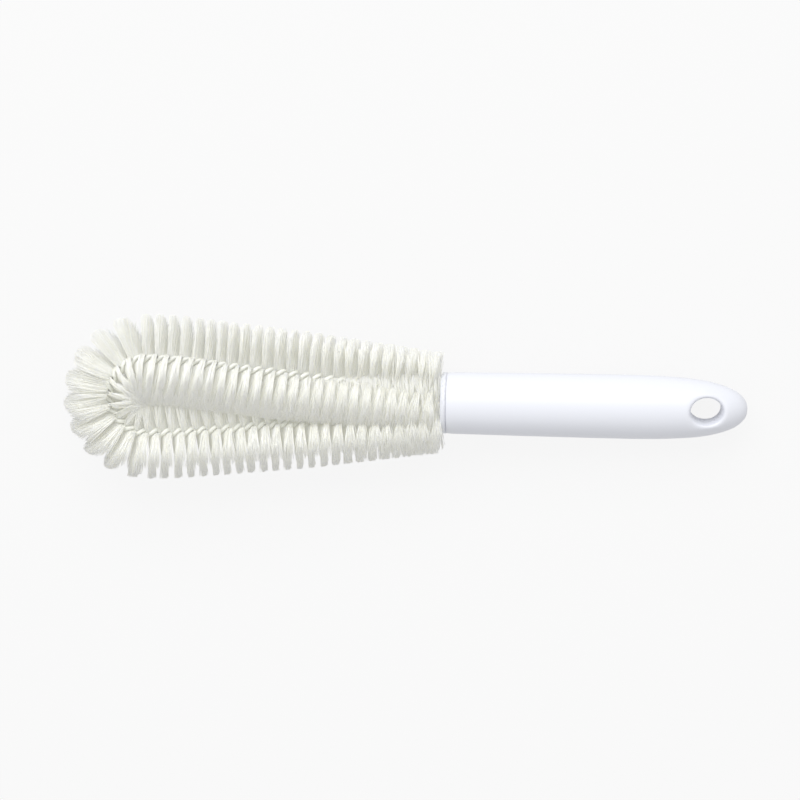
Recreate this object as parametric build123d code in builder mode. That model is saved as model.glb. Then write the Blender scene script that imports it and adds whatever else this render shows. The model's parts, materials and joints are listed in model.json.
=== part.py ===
from build123d import *
import os
from math import asin, atan, atan2, cos, degrees, hypot, pi, radians, sin

# A bottle brush, lying on its side. Two coated wires are twisted together with
# bristles caught between them. The twisted stem is bent into a long loop, and its
# two ends are fixed in a plug that closes the mouth of a hollow moulded handle.
# Lengths are in millimetres. The brush is drawn along X with the handle's mouth at
# X = 0 and the handle towards +X, and is laid on the floor at the end.

# Handle
handle_length = 130.0
mouth_radius = 13.3
grip_radius = 14.0
belly_bend_radius = 60.0
tail_slope_angle = 10.0
tail_end_radius = 9.7
handle_wall = 2.2
mouth_edge_bevel = 0.5

# Hollow inside the handle
plug_socket_depth = 13.0
plug_seat_step = 0.8
hollow_end_bevel = 3.0
wall_before_hanging_hole = 5.0

# Hanging hole, an oval right through the handle's tail
hanging_hole_length = 14.2
hanging_hole_width = 11.6
hanging_hole_to_tip = 18.0
hanging_hole_rim_bevel = 1.6

# Plug in the handle's mouth
plug_rim_thickness = 2.4
plug_rim_bevel = 0.9
plug_fit_clearance = 0.1
plug_end_clearance = 0.5
wire_socket_spacing = 8.8
wire_socket_depth = 12.0
wire_socket_clearance = 0.2
wire_end_clearance = 0.3

# Twisted stem, bent to a loop
tip_bend_radius = 16.25
shoulder_bend_radius = 200.0
mouth_bend_radius = 80.0
leg_spread_angle = 5.85
wire_radius = 0.85
wire_to_bristle_clearance = 0.55
crossing_past_tip = 1.34
wire_sides = 5
wire_stations_per_turn = 5

# Bristles
turn_count = 29
bristle_radius = 20.6
bristle_radius_at_plug = 18.2
bristle_taper_length = 60.0
bristle_waist = 0.3
tuft_thickness = 1.5
bristles_to_plug = 1.3
gap_between_turns = 0.3
gap_between_legs = 0.3
clear_of_bend_centre = 3.0
bristle_stations_per_turn = 12

os.makedirs("parts", exist_ok=True)


# The stem's centre line. It is measured by its length from the tip of the loop,
# negative along the upper leg and positive along the lower one.
spread = radians(leg_spread_angle)
plug_face = -plug_rim_thickness
tip_arc = tip_bend_radius * pi / 2
shoulder_arc = shoulder_bend_radius * spread
mouth_arc = mouth_bend_radius * spread
straight_top = tip_bend_radius - shoulder_bend_radius * (1 - cos(spread))
straight_foot = wire_socket_spacing / 2 + mouth_bend_radius * (1 - cos(spread))
leg_straight = (straight_top - straight_foot) / sin(spread)
bends_along = (shoulder_bend_radius + mouth_bend_radius) * sin(spread)
bend_centre = plug_face - bends_along - leg_straight * cos(spread)
shoulder_starts = tip_arc
straight_starts = shoulder_starts + shoulder_arc
mouth_bend_starts = straight_starts + leg_straight
leg_length = mouth_bend_starts + mouth_arc


def stem_place(along):
    """Centre of the stem and the direction away from the loop's middle, for a leg."""
    if along < shoulder_starts:
        turned = along / tip_bend_radius
        outward = (-cos(turned), sin(turned))
        centre = (bend_centre + tip_bend_radius * outward[0], tip_bend_radius * outward[1])
    elif along < straight_starts:
        turned = (along - shoulder_starts) / shoulder_bend_radius
        outward = (sin(turned), cos(turned))
        centre = (
            bend_centre + shoulder_bend_radius * sin(turned),
            tip_bend_radius - shoulder_bend_radius * (1 - cos(turned)),
        )
    elif along < mouth_bend_starts:
        run = along - straight_starts
        outward = (sin(spread), cos(spread))
        centre = (
            bend_centre + shoulder_bend_radius * sin(spread) + run * cos(spread),
            straight_top - run * sin(spread),
        )
    else:
        left = spread - min(along - mouth_bend_starts, mouth_arc) / mouth_bend_radius
        inside_plug = max(along - leg_length, 0)
        outward = (sin(left), cos(left))
        centre = (
            plug_face - mouth_bend_radius * sin(left) + inside_plug,
            wire_socket_spacing / 2 + mouth_bend_radius * (1 - cos(left)),
        )
    return centre, outward


def stem_point(along, across, up):
    """A point beside the stem, given along it, outwards from the loop and upwards."""
    centre, outward = stem_place(abs(along))
    side = -1 if along > 0 else 1
    x = centre[0] + across * outward[0]
    y = centre[1] + across * outward[1]
    return Vector(x, side * y, up)


# The twist is left-handed. It is level with the loop just past the tip.
bristle_starts = bristles_to_plug - leg_length
bristle_ends = leg_length - bristles_to_plug
pitch = (bristle_ends - bristle_starts) / turn_count
twist_rate = 2 * pi / pitch
wire_offset = wire_radius + bristle_waist / 2 + wire_to_bristle_clearance
wire_slant = atan(twist_rate * wire_offset)


def twist_angle(along):
    return (along - crossing_past_tip) * twist_rate


def ring_solid(rings):
    """A closed solid with flat facets, drawn through rings of as many points each."""
    corners = []
    size = len(rings[0])
    for here, there in zip(rings, rings[1:]):
        for i in range(size):
            j = (i + 1) % size
            corners.append((here[i], here[j], there[j]))
            corners.append((here[i], there[j], there[i]))
    for cap in (rings[0], rings[-1]):
        for i in range(size // 2 - 1):
            corners.append((cap[i], cap[i + 1], cap[size - 2 - i]))
            corners.append((cap[i], cap[size - 2 - i], cap[size - 1 - i]))
        if size % 2:
            corners.append(tuple(cap[size // 2 - 1 : size // 2 + 2]))
    return Solid(Shell([Face(Wire.make_polygon(corner)) for corner in corners]))


def wire_ring(along, side):
    """Section of one wire beside the bristles, on the side given by +1 or -1."""
    angle = twist_angle(along)
    ring = []
    for corner in range(wire_sides):
        around = 2 * pi * corner / wire_sides - angle
        level = wire_radius * cos(around) / cos(wire_slant)
        off = side * wire_offset + wire_radius * sin(around)
        across = level * cos(angle) - off * sin(angle)
        up = level * sin(angle) + off * cos(angle)
        ring.append(stem_point(along, across, up))
    return ring


def bristle_reach(along, angle):
    """Length of the bristles that leave the stem at this place, in this direction."""
    taper = 1 - (leg_length - abs(along)) / bristle_taper_length
    reach = bristle_radius - (bristle_radius - bristle_radius_at_plug) * max(taper, 0)
    inward = -cos(angle)
    if inward > 0:
        centre, outward = stem_place(abs(along))
        room = tip_bend_radius - clear_of_bend_centre
        if abs(along) > shoulder_starts:
            room = (centre[1] - gap_between_legs / 2) / outward[1]
        reach = min(reach, room / inward)
    return reach


def bristle_ring(along):
    """Section of the fan of bristles: narrow between the wires and thicker at its ends."""
    angle = twist_angle(along)
    stops = (-bristle_reach(along, angle + pi), 0, bristle_reach(along, angle))
    faces = []
    for face in (1, -1):
        edge = []
        for out in stops:
            half = (bristle_waist + (tuft_thickness - bristle_waist) * abs(out) / bristle_radius) / 2
            lean = hypot(1, out * twist_rate)
            shift = -face * half * out * twist_rate / lean
            off = face * half / lean
            across = out * cos(angle) - off * sin(angle)
            up = out * sin(angle) + off * cos(angle)
            edge.append(stem_point(along + shift, across, up))
        faces.append(edge)
    return faces[0] + faces[1][::-1]


# Handle: a round moulded body with an open mouth, a hollow inside and an oval hole.
# It widens slightly from its mouth to the grip, narrows behind it and ends round.
tail_slope = radians(tail_slope_angle)
tail_end_centre = handle_length - tail_end_radius
belly_centre_drop = belly_bend_radius - grip_radius
belly_to_end = belly_centre_drop * cos(tail_slope) + tail_end_radius - belly_bend_radius
grip_crest = tail_end_centre + belly_to_end / sin(tail_slope)
with BuildPart() as handle:
    with BuildSketch() as handle_outline:
        with BuildLine():
            belly_centre = (grip_crest, -belly_centre_drop)
            belly = CenterArc(belly_centre, belly_bend_radius, 90 - tail_slope_angle, tail_slope_angle)
            end = CenterArc((tail_end_centre, 0), tail_end_radius, 0, 90 - tail_slope_angle)
            Line(belly @ 0, end @ 1)
            Polyline(belly @ 1, (0, mouth_radius), (0, 0), end @ 0)
        make_face()
        chamfer(handle_outline.vertices().group_by(Axis.X)[0].sort_by(Axis.Y)[-1], mouth_edge_bevel)
    revolve(axis=Axis.X)
    hole_place = handle_length - hanging_hole_to_tip
    with BuildSketch(Plane.XY) as hanging_hole:
        with Locations((hole_place, 0)):
            SlotOverall(hanging_hole_length, hanging_hole_width)
    extrude(amount=grip_radius, both=True, mode=Mode.SUBTRACT)
    hole_rims = handle.edges(Select.LAST).filter_by(Axis.Z, reverse=True)
    chamfer(hole_rims, hanging_hole_rim_bevel)
    bore = mouth_radius - handle_wall
    with BuildSketch() as hollow:
        with BuildLine():
            hollow_end = hole_place - hanging_hole_length / 2 - wall_before_hanging_hole
            Polyline(
                (0, 0),
                (0, bore),
                (plug_socket_depth, bore),
                (plug_socket_depth, bore - plug_seat_step),
                (hollow_end, bore - plug_seat_step),
                (hollow_end, 0),
                close=True,
            )
        make_face()
        chamfer(hollow.vertices().group_by(Axis.X)[-1].sort_by(Axis.Y)[-1], hollow_end_bevel)
    revolve(axis=Axis.X, mode=Mode.SUBTRACT)

# Plug: a rim that covers the mouth, and a spigot in it with a socket for each leg
with BuildPart() as handle_plug:
    with BuildSketch(Plane.YZ.offset(-plug_rim_thickness)):
        Circle(mouth_radius)
    extrude(amount=plug_rim_thickness)
    chamfer(handle_plug.edges().group_by(Axis.X)[0], plug_rim_bevel)
    with BuildSketch(Plane.YZ):
        Circle(bore - plug_fit_clearance)
    extrude(amount=plug_socket_depth - plug_end_clearance)
    stem_radius = wire_offset + wire_radius
    with BuildSketch(Plane.YZ.offset(-plug_rim_thickness)):
        with Locations((wire_socket_spacing / 2, 0), (-wire_socket_spacing / 2, 0)):
            Circle(stem_radius + wire_socket_clearance)
    extrude(amount=wire_socket_depth, mode=Mode.SUBTRACT)

# Wires: two strands twisted round each other all along the loop
wire_reach = leg_length + wire_socket_depth - wire_end_clearance
wire_stations = round(2 * wire_reach / pitch * wire_stations_per_turn)
wires = []
for side in (1, -1):
    wire_rings = []
    for station in range(wire_stations + 1):
        along = (2 * station / wire_stations - 1) * wire_reach
        wire_rings.append(wire_ring(along, side))
    with BuildPart() as wire:
        add(ring_solid(wire_rings))
    wires.append(wire)

# Bristles: a fan for each full turn of the stem
bristle_turns = []
bristle_corners = []
for turn in range(turn_count):
    first = bristle_starts + turn * pitch + gap_between_turns / 2
    turn_length = pitch - gap_between_turns
    bristle_rings = []
    for station in range(bristle_stations_per_turn + 1):
        along = first + turn_length * station / bristle_stations_per_turn
        bristle_rings.append(bristle_ring(along))
    with BuildPart() as bristle_turn:
        add(ring_solid(bristle_rings))
    bristle_turns.append(bristle_turn)
    bristle_corners += [corner for ring in bristle_rings for corner in ring]

# The brush lies on its bristles and on the underside of the handle's belly. The floor
# is the line that touches both from below, and it is turned level.
floor_angles = []
for corner in bristle_corners:
    ahead = grip_crest - corner.X
    above = belly_centre_drop - corner.Z
    floor_angles.append(atan2(above, ahead) - asin(belly_bend_radius / hypot(ahead, above)))
laid_down = Location((0, 0, 0), (0, degrees(max(floor_angles)), 0))

pieces = {"handle": handle, "handle_plug": handle_plug, "wire_a": wires[0], "wire_b": wires[1]}
for number, bristle_turn in enumerate(bristle_turns, start=1):
    pieces[f"bristle_turn_{number:02d}"] = bristle_turn
lying = Compound(children=[piece.part.moved(laid_down) for piece in pieces.values()])
bounds = lying.bounding_box()
resting = Location((-bounds.center().X, -bounds.center().Y, -bounds.min.Z)) * laid_down

for name, piece in pieces.items():
    piece.part.label = name
    piece.part.location = resting
    export_step(piece.part, f"parts/{name}.step")
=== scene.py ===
import json

import bpy
import numpy as np
from math import atan2, cos, pi, radians, sin, sqrt
from mathutils import Matrix, Vector

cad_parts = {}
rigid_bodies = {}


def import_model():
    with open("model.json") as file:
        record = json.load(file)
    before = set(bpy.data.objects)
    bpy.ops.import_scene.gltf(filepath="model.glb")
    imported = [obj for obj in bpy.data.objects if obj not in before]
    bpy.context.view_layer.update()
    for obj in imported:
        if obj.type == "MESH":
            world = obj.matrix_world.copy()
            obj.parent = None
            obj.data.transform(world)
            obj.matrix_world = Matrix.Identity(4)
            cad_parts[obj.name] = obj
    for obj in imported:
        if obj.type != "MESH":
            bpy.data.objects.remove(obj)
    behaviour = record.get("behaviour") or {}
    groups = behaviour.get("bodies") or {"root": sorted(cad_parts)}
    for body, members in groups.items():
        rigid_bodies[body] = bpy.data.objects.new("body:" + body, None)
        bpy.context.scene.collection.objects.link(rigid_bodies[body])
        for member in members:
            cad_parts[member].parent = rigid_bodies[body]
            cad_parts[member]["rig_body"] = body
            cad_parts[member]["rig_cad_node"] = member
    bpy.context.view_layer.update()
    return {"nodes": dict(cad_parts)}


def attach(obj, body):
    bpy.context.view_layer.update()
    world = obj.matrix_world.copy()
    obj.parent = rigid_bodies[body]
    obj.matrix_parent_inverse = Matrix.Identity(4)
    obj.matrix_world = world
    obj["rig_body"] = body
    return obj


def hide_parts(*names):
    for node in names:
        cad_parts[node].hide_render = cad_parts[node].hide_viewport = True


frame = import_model()
bpy.ops.object.select_all(action="DESELECT")

# Twisted wires
# Two steel wires in a white plastic coat are twisted left-handed round each other, with
# the bristles caught between them, and the twist is bent to a long loop. The coat is
# smooth and pearly, and each crossing shows as a bead between two bundles of bristles.
mm = 0.001
plug_rim_thickness = 2.4 * mm
tip_bend_radius = 16.25 * mm
shoulder_bend_radius = 200.0 * mm
mouth_bend_radius = 80.0 * mm
spread = radians(5.85)
socket_spacing = 8.8 * mm
socket_reach = 11.7 * mm
bristles_to_plug = 1.3 * mm
turn_count = 29
crossing_past_tip = 1.34 * mm

# The brush lies on its bristles and on the underside of its handle, so its axis is a few
# degrees off level. The flat front of the plug's rim gives that axis and its place.
rim_front_depth = 1.2 * mm
least_forward = 0.99
plug_faces = frame["nodes"]["handle_plug"].data.polygons
foremost = min(face.center.x for face in plug_faces)
rim_front = [
    face
    for face in plug_faces
    if face.center.x < foremost + rim_front_depth and face.normal.x < -least_forward
]
rim_area = sum(face.area for face in rim_front)
rim_centre = sum((face.center * face.area for face in rim_front), Vector()) / rim_area
brush_axis = -sum((face.normal * face.area for face in rim_front), Vector()).normalized()
mouth_centre = rim_centre + brush_axis * plug_rim_thickness
off_level = atan2(-brush_axis.z, brush_axis.x)
laid_down = Matrix.Translation(mouth_centre) @ Matrix.Rotation(off_level, 4, "Y")


def lay(points):
    """Points given along the brush's axis, as they lie in the row frame."""
    turned = np.array(laid_down)
    return points @ turned[:3, :3].T + turned[:3, 3]


tip_arc = tip_bend_radius * pi / 2
shoulder_arc = shoulder_bend_radius * spread
mouth_arc = mouth_bend_radius * spread
straight_top = tip_bend_radius - shoulder_bend_radius * (1 - cos(spread))
straight_foot = socket_spacing / 2 + mouth_bend_radius * (1 - cos(spread))
leg_straight = (straight_top - straight_foot) / sin(spread)
bends_along = (shoulder_bend_radius + mouth_bend_radius) * sin(spread)
bend_centre = -plug_rim_thickness - bends_along - leg_straight * cos(spread)
straight_starts = tip_arc + shoulder_arc
mouth_bend_starts = straight_starts + leg_straight
leg_length = mouth_bend_starts + mouth_arc
pitch = 2 * (leg_length - bristles_to_plug) / turn_count
upwards = np.array([0, 0, 1.0])


def stem_places(along):
    """Centres of the stem and directions outwards from the loop, at lengths from its tip."""
    way = np.abs(along)
    turned = way / tip_bend_radius
    shoulder = (way - tip_arc) / shoulder_bend_radius
    run = way - straight_starts
    left = spread - np.clip(way - mouth_bend_starts, 0, mouth_arc) / mouth_bend_radius
    in_plug = np.maximum(way - leg_length, 0)
    stretch = [way < tip_arc, way < straight_starts, way < mouth_bend_starts]
    side = np.where(along > 0, -1.0, 1.0)
    level = np.zeros(way.shape)
    tip_x = bend_centre - tip_bend_radius * np.cos(turned)
    shoulder_x = bend_centre + shoulder_bend_radius * np.sin(shoulder)
    run_x = bend_centre + shoulder_bend_radius * sin(spread) + run * cos(spread)
    mouth_x = in_plug - plug_rim_thickness - mouth_bend_radius * np.sin(left)
    tip_y = tip_bend_radius * np.sin(turned)
    shoulder_y = tip_bend_radius - shoulder_bend_radius * (1 - np.cos(shoulder))
    run_y = straight_top - run * sin(spread)
    mouth_y = socket_spacing / 2 + mouth_bend_radius * (1 - np.cos(left))
    x = np.select(stretch, [tip_x, shoulder_x, run_x], mouth_x)
    y = np.select(stretch, [tip_y, shoulder_y, run_y], mouth_y)
    facing = np.select(stretch, [turned - pi / 2, shoulder, level + spread], left)
    outward = np.stack([np.sin(facing), np.cos(facing) * side, level], -1)
    return np.stack([x, y * side, level], -1), outward


def twist(along):
    """Angle of the twist, from outwards towards upwards, at lengths from the loop's tip."""
    return (along - crossing_past_tip) * 2 * pi / pitch


def linear(hex_colour):
    """An sRGB hex colour as the linear values that a shader takes."""
    channels = [int(hex_colour[i : i + 2], 16) / 255 for i in (1, 3, 5)]
    return [c / 12.92 if c <= 0.04045 else ((c + 0.055) / 1.055) ** 2.4 for c in channels] + [1.0]


def bare_material(name):
    """A new material and its node tree, with no nodes in it yet."""
    material = bpy.data.materials.new(name)
    material.use_nodes = True
    material.node_tree.nodes.clear()
    return material, material.node_tree


def shader(tree, kind, settings=None, inputs=None, links=None):
    """Adds a node with its settings, its sockets' values and links, as socket: (node, output)."""
    node = tree.nodes.new(kind)
    for name, value in (settings or {}).items():
        setattr(node, name, value)
    for name, value in (inputs or {}).items():
        node.inputs[name].default_value = value
    for name, (source, output) in (links or {}).items():
        tree.links.new(source.outputs[output], node.inputs[name])
    return node


# Soft white PVC, dipped: glossy, slightly uneven in thickness, so its glints wander.
coat_bump_size = 0.6 * mm
dipped_pvc, tree = bare_material("dipped_white_pvc")
place = shader(tree, "ShaderNodeTexCoord")
unevenness = shader(
    tree,
    "ShaderNodeTexNoise",
    inputs={"Scale": 1 / coat_bump_size, "Detail": 2.0},
    links={"Vector": (place, "Object")},
)
wandering = shader(
    tree,
    "ShaderNodeBump",
    inputs={"Strength": 0.25, "Distance": 0.05 * mm},
    links={"Height": (unevenness, 0)},
)
coat = shader(
    tree,
    "ShaderNodeBsdfPrincipled",
    inputs={"Base Color": linear("#f4f5ef"), "Roughness": 0.28, "IOR": 1.52},
    links={"Normal": (wandering, 0)},
)
shader(tree, "ShaderNodeOutputMaterial", links={"Surface": (coat, 0)})

coat_radius = 0.85 * mm
strand_offset = 1.55 * mm
strand_stations_per_turn = 24
wire_reach = leg_length + socket_reach
strand_stations = round(2 * wire_reach / pitch * strand_stations_per_turn)
for cad_wire, side in (("wire_a", 1), ("wire_b", -1)):
    along = np.linspace(-wire_reach, wire_reach, strand_stations)
    centre, outward = stem_places(along)
    angle = twist(along)[:, None]
    line = lay(centre + side * strand_offset * (np.cos(angle) * upwards - np.sin(angle) * outward))
    curve = bpy.data.curves.new(cad_wire.replace("wire", "strand"), "CURVE")
    curve.dimensions = "3D"
    curve.bevel_depth = coat_radius
    curve.bevel_resolution = 4
    curve.use_fill_caps = True
    spline = curve.splines.new("POLY")
    spline.points.add(strand_stations - 1)
    spline.points.foreach_set("co", np.c_[line, np.ones(strand_stations)].ravel())
    strand = bpy.data.objects.new(curve.name, curve)
    bpy.context.collection.objects.link(strand)
    bpy.context.view_layer.objects.active = strand
    strand.select_set(True)
    bpy.ops.object.convert(target="MESH")
    bpy.ops.object.shade_smooth()
    bpy.ops.object.select_all(action="DESELECT")
    strand.data.materials.clear()
    strand.data.materials.append(dipped_pvc)
    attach(strand, "root")
    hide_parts(cad_wire)

# Bristles
# Straight cream nylon filaments, cut from a hank and laid between the wires before they
# are twisted, so that each is held at its middle and stands out on both sides. Those that
# point up are pressed flat: the upper leg's inwards over the loop, the lower leg's outwards.

# One filament, two units long with its middle at zero. It is drawn coarser than real ones,
# because there are fewer of them here.
filament_radius = 0.14 * mm
filament_tip_radius = 0.09 * mm
filament_stops = (-1.0, -0.6, -0.25, 0.0, 0.25, 0.6, 1.0)
bpy.ops.mesh.primitive_cylinder_add(vertices=3, radius=filament_radius, depth=2.0)
filament = bpy.context.object
bpy.ops.object.mode_set(mode="EDIT")
for stop in filament_stops[1:-1]:
    bpy.ops.mesh.select_all(action="SELECT")
    bpy.ops.mesh.bisect(plane_co=(0, 0, stop), plane_no=(0, 0, 1))
bpy.ops.object.mode_set(mode="OBJECT")
filament_shape = np.array([vertex.co for vertex in filament.data.vertices])
filament_stop = np.abs(filament_shape[:, 2:] - np.array(filament_stops)).argmin(1)
is_tip = np.abs(filament_shape[:, 2]) > 0.99
filament_shape[is_tip, :2] *= filament_tip_radius / filament_radius
filament_sides = [list(face.vertices) for face in filament.data.polygons]
bpy.data.objects.remove(filament)

# Nylon monofilament, drawn: cream and translucent, with a soft shine along it. It also has
# a faint painted glow of its own, which stands for light that scatters between filaments more often
# than a render follows.
nylon, tree = bare_material("drawn_cream_nylon")
tone = shader(tree, "ShaderNodeAttribute", {"attribute_name": "filament_tone"})
cream = shader(
    tree,
    "ShaderNodeMix",
    {"data_type": "RGBA"},
    inputs={6: linear("#f5f5ec"), 7: linear("#fcfcf7")},
    links={0: (tone, "Fac")},
)
drawn = shader(
    tree,
    "ShaderNodeBsdfPrincipled",
    inputs={
        "Roughness": 0.42,
        "IOR": 1.53,
        "Subsurface Weight": 0.6,
        # Painted glow: the filaments emit a faint cream light, to brighten the tufts' insides.
        "Emission Color": linear("#f6f6ee"),
        "Emission Strength": 0.12,
        "Subsurface Radius": (1.0, 0.95, 0.8),
        "Subsurface Scale": 0.3 * mm,
    },
    links={"Base Color": (cream, 2)},
)
shader(tree, "ShaderNodeOutputMaterial", links={"Surface": (drawn, 0)})

filaments_per_turn = 800
filaments_per_clump = 9
bristle_radius = 20.2 * mm
bristle_radius_at_plug = 18.1 * mm
bristle_taper_length = 60.0 * mm
bundle_half_angle = radians(30)
dice = np.random.default_rng(11)

# Degrees to each side of outwards within which bristles count as pointing outwards, at
# millimetres along the stem from the loop's tip, negative along the upper leg.
outward_sectors = (
    (-120, 56),
    (-90, 44),
    (-62, 30),
    (-55, 8),
    (-24, 8),
    (-13, 30),
    (-5, 66),
    (24, 66),
    (45, 56),
    (90, 58),
    (120, 62),
)

# Where pressed bristles come to lie, in degrees: 0 is outwards, 90 up and 180 inwards.
# Outward ones draw together to a share of their angle. Inward ones and upright ones lie
# from a first angle over a range. Those below the inward ones keep a share of their angle.
outward_share = 0.4
below_share = 0.1
upper_leg_rest = {"inward": (168, 6), "upright": (152, 16), "below": -166}
lower_leg_rest = {"inward": (184, 4), "upright": (14, 20), "below": -154}
bend_sharpness = 3
bend_steps = 20

# How much bristles stray: where the two legs' ways of lying meet at the tip, how far and
# how long the plug's edge tousles them, and how clumps and single filaments splay.
legs_meet_within = 4 * mm
tousled_length = 55 * mm
tousled_degrees = 14
clump_splay = 0.015
clump_splay_tousled = 0.07
filament_splay = 0.02
inward_splay = 0.12
bundle_gather = 0.22
splay_growth = 1.3
corner_cut = 0.12
length_scatter = 0.012


def comb(turned, outer, over):
    """Where bristles end up, in degrees, from where they leave the stem: 0 outwards, 90 up."""
    back = 180 - outer
    rising = (turned - outer) / (back - outer)
    ways = [np.abs(turned) < outer, turned > back, turned > outer, turned < -back]
    rests = []
    for rest in (upper_leg_rest, lower_leg_rest):
        (inward, inward_range), (upright, upright_range) = rest["inward"], rest["upright"]
        places = [
            turned * outward_share,
            inward + (turned - back) / outer * inward_range,
            upright + rising * upright_range,
            turned * below_share + rest["below"],
        ]
        rests.append(np.select(ways, places, turned))
    return np.where(over, *rests)


def filament_lines(first, count):
    """Lines of one turn's filaments, each through the filament's stops."""
    along = first + pitch * (np.arange(count) + dice.random(count)) / count
    clump = np.arange(count) // filaments_per_clump
    centre, outward = stem_places(along)
    heading = np.cross(outward, upwards)
    middle = twist(along) + dice.uniform(-1, 1, count) * bundle_half_angle
    over = along < dice.normal(0, legs_meet_within, count)
    to_plug = leg_length - np.abs(along)
    tousled = np.clip(1 - to_plug / tousled_length, 0, 1)
    clump_strays = clump_splay + clump_splay_tousled * tousled
    outer = np.interp(along / mm, *zip(*outward_sectors))
    taper = np.maximum(1 - to_plug / bristle_taper_length, 0)
    longest = bristle_radius - (bristle_radius - bristle_radius_at_plug) * taper
    lines = np.repeat(centre[:, None], len(filament_stops), 1)
    share = np.linspace(0, 1 - 1 / bend_steps, bend_steps)
    bend = 1 - (1 - share) ** bend_sharpness
    for end, half_turn in ((1, 0), (-1, pi)):
        leaves = (middle + half_turn + pi) % (2 * pi) - pi
        turned = np.degrees(leaves)
        tousling = dice.normal(0, tousled_degrees, count) * tousled
        rests = np.radians(comb(turned, outer, over) + tousling)
        way = leaves[:, None] + (rests - leaves)[:, None] * bend
        bundle = (twist(along) + half_turn + pi) % (2 * pi) - pi
        splay = dice.normal(0, 1, clump[-1] + 1)[clump] * clump_strays
        splay += dice.normal(0, filament_splay, count)
        spread_inwards = dice.uniform(-inward_splay, inward_splay, count)
        gathered = bundle_gather * bundle * pitch / (2 * pi * longest)
        splay += np.where(np.abs(turned) > 90, spread_inwards, gathered)
        edge = np.minimum(np.abs(bundle) / (np.radians(outer) + bundle_half_angle), 1)
        rounding = np.where(np.abs(turned) < outer, corner_cut * edge**2, 0)
        shorter = np.abs(dice.normal(0, length_scatter, count))
        reach = longest * (1 - shorter - rounding) / np.sqrt(1 + splay**2)
        out = np.cumsum(np.cos(way), 1) / bend_steps * reach[:, None]
        up = np.cumsum(np.sin(way), 1) / bend_steps * reach[:, None]
        for index, stop in enumerate(filament_stops):
            if stop * end > 0:
                at = round(abs(stop) * bend_steps) - 1
                sideways = (splay * reach * abs(stop) ** splay_growth)[:, None]
                risen = outward * out[:, [at]] + upwards * up[:, [at]]
                lines[:, index] += risen + heading * sideways
    return lay(lines)


off_every_filament = (0.31, 0.17, 0.94)
corners = len(filament_shape)
for turn in range(turn_count):
    lines = filament_lines(bristles_to_plug - leg_length + turn * pitch, filaments_per_turn)
    lines[..., 2] = np.maximum(lines[..., 2], filament_radius)
    heading = np.gradient(lines, axis=1)
    heading /= np.linalg.norm(heading, axis=2)[..., None]
    one_side = np.cross(heading, off_every_filament)
    one_side /= np.linalg.norm(one_side, axis=2)[..., None]
    other_side = np.cross(heading, one_side)
    points = (
        lines[:, filament_stop]
        + filament_shape[None, :, 0:1] * one_side[:, filament_stop]
        + filament_shape[None, :, 1:2] * other_side[:, filament_stop]
    ).reshape(-1, 3)
    faces = [
        [corner + corners * i for corner in face]
        for i in range(filaments_per_turn)
        for face in filament_sides
    ]
    mesh = bpy.data.meshes.new(f"tuft_{turn + 1:02d}")
    mesh.from_pydata(points, [], faces)
    mesh.polygons.foreach_set("use_smooth", np.ones(len(mesh.polygons), bool))
    tones = np.repeat(dice.random(filaments_per_turn), corners).astype(np.float32)
    mesh.attributes.new("filament_tone", "FLOAT", "POINT").data.foreach_set("value", tones)
    mesh.materials.append(nylon)
    tuft = bpy.data.objects.new(mesh.name, mesh)
    bpy.context.collection.objects.link(tuft)
    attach(tuft, "root")
    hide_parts(f"bristle_turn_{turn + 1:02d}")

# Plug
# A round moulding of white polypropylene, pressed into the handle's mouth. Its rim covers
# the mouth, and each leg of the loop goes into a socket in its front.

# Moulded polypropylene: bluish white and satin, with a very fine grain from the mould.
grain_size = 0.35 * mm
moulded_white, tree = bare_material("moulded_white_polypropylene")
place = shader(tree, "ShaderNodeTexCoord")
grain = shader(
    tree,
    "ShaderNodeTexNoise",
    inputs={"Scale": 1 / grain_size, "Detail": 3.0},
    links={"Vector": (place, "Object")},
)
satin = shader(
    tree,
    "ShaderNodeMapRange",
    inputs={"To Min": 0.33, "To Max": 0.45},
    links={"Value": (grain, 0)},
)
grainy = shader(
    tree,
    "ShaderNodeBump",
    inputs={"Strength": 0.12, "Distance": 0.02 * mm},
    links={"Height": (grain, 0)},
)
plastic = shader(
    tree,
    "ShaderNodeBsdfPrincipled",
    inputs={"Base Color": linear("#eceef5"), "IOR": 1.49},
    links={"Roughness": (satin, 0), "Normal": (grainy, 0)},
)
shader(tree, "ShaderNodeOutputMaterial", links={"Surface": (plastic, 0)})

plug = frame["nodes"]["handle_plug"].copy()
plug.data = plug.data.copy()
plug.name = "moulded_plug"
plug.parent = None
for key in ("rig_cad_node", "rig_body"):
    del plug[key]
bpy.context.collection.objects.link(plug)
bpy.context.view_layer.objects.active = plug
plug.select_set(True)
bpy.ops.object.mode_set(mode="EDIT")
bpy.ops.mesh.select_all(action="SELECT")
bpy.ops.mesh.remove_doubles(threshold=0.002 * mm)
bpy.ops.object.mode_set(mode="OBJECT")
bpy.ops.object.shade_smooth_by_angle(angle=radians(50))
bpy.ops.object.select_all(action="DESELECT")
plug.data.materials.clear()
plug.data.materials.append(moulded_white)
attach(plug, "root")
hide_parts("handle_plug")

# Handle
# A round moulding of the same plastic, with no seam that shows. It swells a little towards
# the grip and narrows behind it to a round tip, and an oval hanging hole with soft rims
# goes right through its tail. Here it has the plug's recess, but not the hollow behind it.

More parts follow.
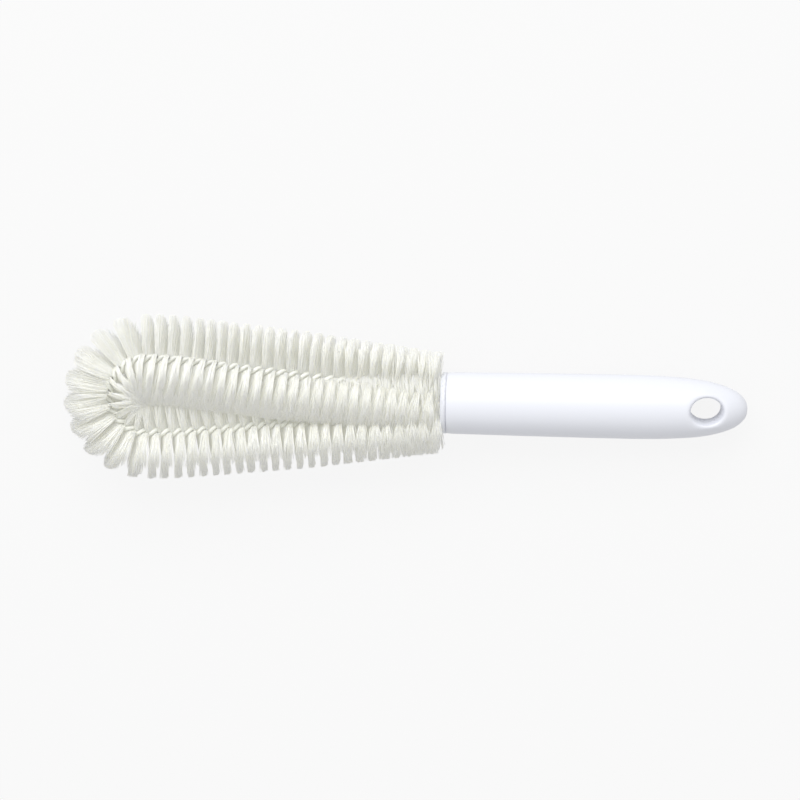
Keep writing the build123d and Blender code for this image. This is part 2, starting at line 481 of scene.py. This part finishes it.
# Its rings, from the recess's floor round the mouth and back to the tip, as places along
# the axis and radii in millimetres. Smoothing shrinks a ring, which ring_shrink makes up.
handle_sides = 16
ring_shrink = (2 + cos(2 * pi / handle_sides)) / 3
handle_outline = (
    (13.0, 11.1),
    (0.4, 11.1),
    (0.0, 11.4),
    (0.0, 12.9),
    (0.35, 13.35),
    (4.0, 13.45),
    (45.0, 13.8),
    (80.0, 13.95),
    (92.0, 13.75),
    (102.0, 13.15),
    (112.0, 12.3),
    (122.0, 9.5),
    (127.0, 6.6),
    (129.6, 3.2),
)
outside_starts = 5
handle_tip = (130.0, 0.05)
hole_place = 112.0
hole_half_length = 7.1
hole_half_width = 5.8
hole_rim = 1.3
(x, radius) = handle_outline[0]
bpy.ops.mesh.primitive_circle_add(
    vertices=handle_sides,
    radius=radius / ring_shrink * mm,
    fill_type="NGON",
    location=(x * mm, 0, 0),
    rotation=(0, pi / 2, 0),
)
handle = bpy.context.object
handle.name = "moulded_handle"
bpy.ops.object.transform_apply()
bpy.ops.object.mode_set(mode="EDIT")
bpy.ops.mesh.select_all(action="SELECT")
for next_x, next_radius in handle_outline[1:] + (handle_tip,):
    bpy.ops.mesh.extrude_region_move(TRANSFORM_OT_translate={"value": ((next_x - x) * mm, 0, 0)})
    narrower = next_radius / radius
    bpy.ops.transform.resize(value=(1, narrower, narrower), center_override=(next_x * mm, 0, 0))
    (x, radius) = (next_x, next_radius)
bpy.ops.mesh.merge(type="CENTER")
bpy.ops.mesh.select_mode(type="FACE")
bpy.ops.mesh.select_all(action="DESELECT")
bpy.ops.object.mode_set(mode="OBJECT")

# The hole: the faces above and below it go, and the openings take its oval shape.
hole_patch = (102, 122)
for face in handle.data.polygons:
    (x, y, z) = face.center / mm
    face.select = hole_patch[0] < x < hole_patch[1] and abs(y) < abs(z)
bpy.ops.object.mode_set(mode="EDIT")
bpy.ops.mesh.inset(thickness=1.0 * mm)
bpy.ops.mesh.delete(type="FACE")
bpy.ops.object.mode_set(mode="OBJECT")


def oval(turn, wider):
    """A place on the hanging hole's oval, or so much outside it, in millimetres."""
    x = hole_place + (hole_half_length + wider) * cos(turn)
    return x, (hole_half_width + wider) * sin(turn)


def tail_height(x, y):
    """How high the tail's upper side stands above its axis there, in millimetres."""
    around = np.interp(x, *zip(*handle_outline[outside_starts:])) / ring_shrink
    return sqrt(around**2 - y**2)


edge_faces = {}
for face in handle.data.polygons:
    for key in face.edge_keys:
        edge_faces[key] = edge_faces.get(key, 0) + 1
open_ends = {i for key, count in edge_faces.items() if count == 1 for i in key}
just_under_a_turn = 2 * pi - 1e-4


def round_the_hole(vertex):
    """How far round the hole a vertex is. What is a hair before the start counts as on it."""
    return atan2(vertex.co.y, vertex.co.x - hole_place * mm) % just_under_a_turn


for top in (True, False):
    rim = [handle.data.vertices[i] for i in open_ends]
    rim = [vertex for vertex in rim if (vertex.co.z > 0) == top]
    rim.sort(key=round_the_hole)
    for index, vertex in enumerate(rim):
        (x, y) = oval(2 * pi * index / len(rim), hole_rim)
        vertex.co = Vector((x, y, tail_height(x, y) * (1 if top else -1))) * mm

# Its wall: two loops a rim's width inside the openings, and two nearer the middle.
hole_loops = 4
inner_loop_height = 2.5
inner_loop_share = 0.4
body_vertices = len(handle.data.vertices)
bpy.ops.object.mode_set(mode="EDIT")
bpy.ops.mesh.select_mode(type="EDGE")
bpy.ops.mesh.select_all(action="DESELECT")
bpy.ops.mesh.select_non_manifold()
bpy.ops.mesh.bridge_edge_loops(number_cuts=hole_loops, interpolation="LINEAR")
bpy.ops.mesh.select_all(action="SELECT")
bpy.ops.mesh.normals_make_consistent(inside=False)
bpy.ops.object.mode_set(mode="OBJECT")
for vertex in handle.data.vertices[body_vertices:]:
    (x, y, z) = vertex.co / mm
    outer_loop_height = tail_height(x, y) - hole_rim
    inner = abs(z) < inner_loop_share * tail_height(x, y)
    turn = atan2(y / (hole_half_width + hole_rim), (x - hole_place) / (hole_half_length + hole_rim))
    (x, y) = oval(turn, 0.0)
    height = inner_loop_height if inner else outer_loop_height
    vertex.co = Vector((x, y, height * (1 if z > 0 else -1))) * mm
smooth = handle.modifiers.new("smooth", "SUBSURF")
smooth.levels = 2
smooth.render_levels = 2
bpy.ops.object.modifier_apply(modifier=smooth.name)
bpy.ops.object.shade_smooth()
handle.data.transform(laid_down)
bpy.ops.object.select_all(action="DESELECT")
handle.data.materials.append(moulded_white)
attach(handle, "root")
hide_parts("handle")

# Floor, light and camera
# A pale floor that shows white and keeps a soft shadow, one broad soft lamp at the
# photograph's upper side, and the camera above the brush, where the photograph was taken.
bpy.ops.mesh.primitive_plane_add(size=6.0)
floor = bpy.context.object
floor.name = "floor"

# Pale board: mid grey for the light on the brush, and mostly a plain white where it is
# seen directly, in a reflection or through something.
floor_whitening = 0.88
pale_floor, tree = bare_material("pale_floor")
lit = shader(tree, "ShaderNodeBsdfDiffuse", inputs={"Color": linear("#c8c8c8")})
white = shader(tree, "ShaderNodeEmission", inputs={"Color": (1, 1, 1, 1), "Strength": 1.0})
ray = shader(tree, "ShaderNodeLightPath")
mirrored = shader(
    tree,
    "ShaderNodeMath",
    {"operation": "MAXIMUM"},
    links={0: (ray, "Is Camera Ray"), 1: (ray, "Is Glossy Ray")},
)
seen = shader(
    tree,
    "ShaderNodeMath",
    {"operation": "MAXIMUM"},
    links={0: (mirrored, 0), 1: (ray, "Is Transmission Ray")},
)
whitened = shader(
    tree,
    "ShaderNodeMath",
    {"operation": "MULTIPLY"},
    inputs={1: floor_whitening},
    links={0: (seen, 0)},
)
shown = shader(tree, "ShaderNodeMixShader", links={0: (whitened, 0), 1: (lit, 0), 2: (white, 0)})
shader(tree, "ShaderNodeOutputMaterial", links={"Surface": (shown, 0)})
floor.data.materials.append(pale_floor)

world = bpy.data.worlds.new("soft_room")
bpy.context.scene.world = world
world.use_nodes = True
room_light = world.node_tree.nodes["Background"]
room_light.inputs["Color"].default_value = (1, 1, 1, 1)
room_light.inputs["Strength"].default_value = 0.65

window_data = bpy.data.lights.new("window", "AREA")
window_data.shape = "RECTANGLE"
window_data.size = 1.2
window_data.size_y = 0.8
window_data.energy = 10
window = bpy.data.objects.new("window", window_data)
window.location = (-0.1, 0.8, 0.9)
window.rotation_euler = (-window.location).to_track_quat("-Z", "Y").to_euler()
bpy.context.collection.objects.link(window)

look_at = Vector((-0.73, 1.29, 22.0)) * mm
camera_offset = Vector((110.4, 146.0, 1000.0)) * mm
camera_roll = radians(0.67)
view_width = 347.67 * mm
camera_data = bpy.data.cameras.new("camera")
camera_data.lens = camera_data.sensor_width * camera_offset.length / view_width
camera_data.clip_start = 0.01
camera = bpy.data.objects.new("camera", camera_data)
backwards = camera_offset.normalized()
rightwards = Vector((0, 1, 0)).cross(backwards).normalized()
axes = Matrix((rightwards, backwards.cross(rightwards), backwards)).transposed().to_4x4()
stand = Matrix.Translation(look_at + camera_offset)
camera.matrix_world = stand @ Matrix.Rotation(camera_roll, 4, backwards) @ axes
bpy.context.collection.objects.link(camera)
bpy.context.scene.camera = camera

bpy.context.scene.view_settings.view_transform = "Standard"
